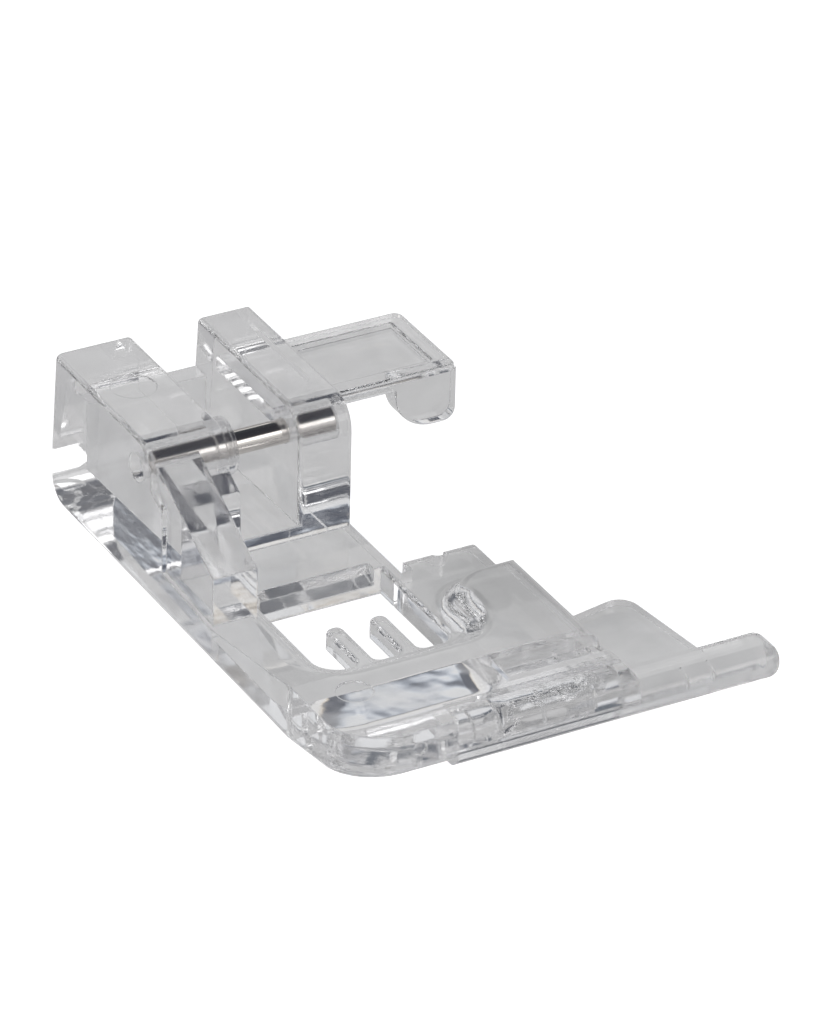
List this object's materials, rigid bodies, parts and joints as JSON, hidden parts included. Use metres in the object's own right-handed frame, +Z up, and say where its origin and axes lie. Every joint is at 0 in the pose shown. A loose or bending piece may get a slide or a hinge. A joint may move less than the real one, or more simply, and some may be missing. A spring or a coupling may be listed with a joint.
{
  "type": "sewing machine presser foot",
  "caption": "Clear moulded clip-on presser foot for an overlock sewing machine, with a steel cross pin, a needle window with stitch fingers and a side tab.",
  "frame": {"origin": "on the sole's plane, under the middle of the foot's bounding box", "axes": "+Z up from the sole, +Y from the toe back to the heel, +X from the left ear towards the nose"},
  "size_m": [0.0374, 0.0508, 0.0135],
  "materials": {
    "clear_plastic": "clear, polished in the mould",
    "pin_steel": "bright polished steel"
  },
  "bodies": {
    "root": {"clear_foot": "clear_plastic", "cross_pin": "pin_steel"}
  },
  "joints": []
}
